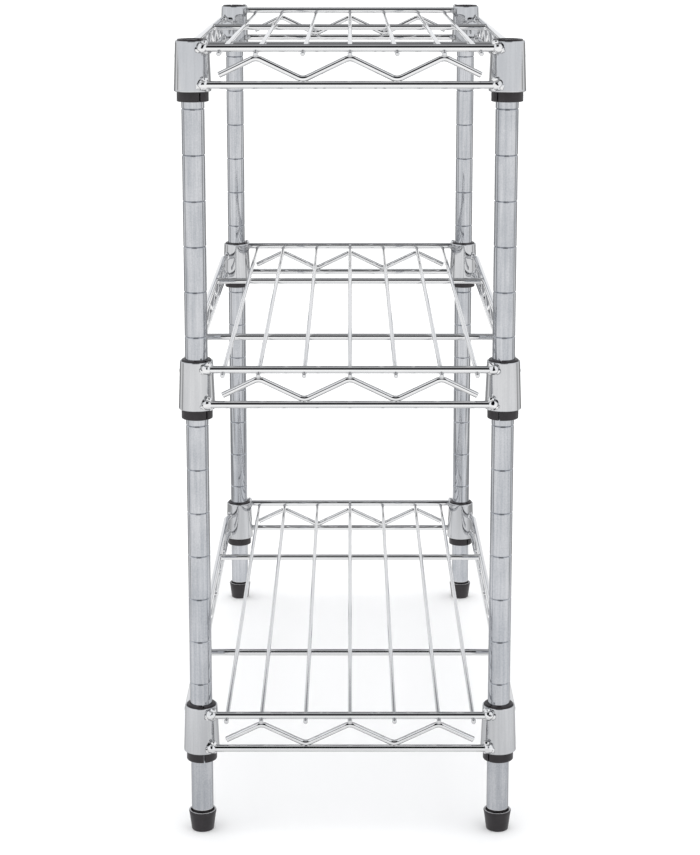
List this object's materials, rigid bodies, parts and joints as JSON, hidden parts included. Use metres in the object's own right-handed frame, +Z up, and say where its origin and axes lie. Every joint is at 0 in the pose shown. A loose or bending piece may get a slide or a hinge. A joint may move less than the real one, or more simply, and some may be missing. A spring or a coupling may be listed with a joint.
{
  "type": "wire shelf shoe rack",
  "caption": "Tall narrow tiered rack of chrome wire shelves on grooved tube posts, with tapered corner collars, black split clips and black levelling feet.",
  "frame": {"origin": "centre of the bounding box's base, on the floor between the four feet", "axes": "+X along the shelves' long direction, +Y across the shelves, +Z up"},
  "size_m": [0.6774, 0.2936, 0.6875],
  "materials": {
    "chrome": "bright chrome plate on steel wire and tube",
    "black_plastic": "black moulded plastic, slightly satin",
    "zinc": "zinc-plated screw"
  },
  "bodies": {
    "posts": {"post_front_right": "chrome", "post_back_right": "chrome", "post_back_left": "chrome", "post_front_left": "chrome", "post_caps": "black_plastic", "foot_inserts": "black_plastic", "bottom_clip_front_right": "black_plastic", "bottom_clip_back_right": "black_plastic", "bottom_clip_back_left": "black_plastic", "bottom_clip_front_left": "black_plastic", "middle_clip_front_right": "black_plastic", "middle_clip_back_right": "black_plastic", "middle_clip_back_left": "black_plastic", "middle_clip_front_left": "black_plastic", "top_clip_front_right": "black_plastic", "top_clip_back_right": "black_plastic", "top_clip_back_left": "black_plastic", "top_clip_front_left": "black_plastic"},
    "bottom_shelf": {"bottom_collar_front_right": "chrome", "bottom_collar_back_right": "chrome", "bottom_collar_back_left": "chrome", "bottom_collar_front_left": "chrome", "bottom_end_rails": "chrome", "bottom_side_rails": "chrome", "bottom_end_zigzags": "chrome", "bottom_side_zigzags": "chrome", "bottom_cross_wires": "chrome", "bottom_surface_wires": "chrome"},
    "middle_shelf": {"middle_collar_front_right": "chrome", "middle_collar_back_right": "chrome", "middle_collar_back_left": "chrome", "middle_collar_front_left": "chrome", "middle_end_rails": "chrome", "middle_side_rails": "chrome", "middle_end_zigzags": "chrome", "middle_side_zigzags": "chrome", "middle_cross_wires": "chrome", "middle_surface_wires": "chrome"},
    "top_shelf": {"top_collar_front_right": "chrome", "top_collar_back_right": "chrome", "top_collar_back_left": "chrome", "top_collar_front_left": "chrome", "top_end_rails": "chrome", "top_side_rails": "chrome", "top_end_zigzags": "chrome", "top_side_zigzags": "chrome", "top_cross_wires": "chrome", "top_surface_wires": "chrome"},
    "levelling_foot_front_right": {"foot_front_right": "black_plastic", "foot_stem_front_right": "zinc"},
    "levelling_foot_back_right": {"foot_back_right": "black_plastic", "foot_stem_back_right": "zinc"},
    "levelling_foot_back_left": {"foot_back_left": "black_plastic", "foot_stem_back_left": "zinc"},
    "levelling_foot_front_left": {"foot_front_left": "black_plastic", "foot_stem_front_left": "zinc"}
  },
  "joints": [
    {"name": "bottom_shelf_lift", "type": "slide", "parent": "posts", "child": "bottom_shelf", "axis": [0, 0, 1], "range_m": [0, 0.252]},
    {"name": "middle_shelf_lift", "type": "slide", "parent": "posts", "child": "middle_shelf", "axis": [0, 0, 1], "range_m": [0, 0.214]},
    {"name": "top_shelf_lift", "type": "slide", "parent": "posts", "child": "top_shelf", "axis": [0, 0, 1], "range_m": [0, 0.038]},
    {"name": "foot_screw_front_right", "type": "slide", "parent": "posts", "child": "levelling_foot_front_right", "axis": [0, 0, -1], "range_m": [0, 0.008]},
    {"name": "foot_screw_back_right", "type": "slide", "parent": "posts", "child": "levelling_foot_back_right", "axis": [0, 0, -1], "range_m": [0, 0.008]},
    {"name": "foot_screw_back_left", "type": "slide", "parent": "posts", "child": "levelling_foot_back_left", "axis": [0, 0, -1], "range_m": [0, 0.008]},
    {"name": "foot_screw_front_left", "type": "slide", "parent": "posts", "child": "levelling_foot_front_left", "axis": [0, 0, -1], "range_m": [0, 0.008]}
  ]
}
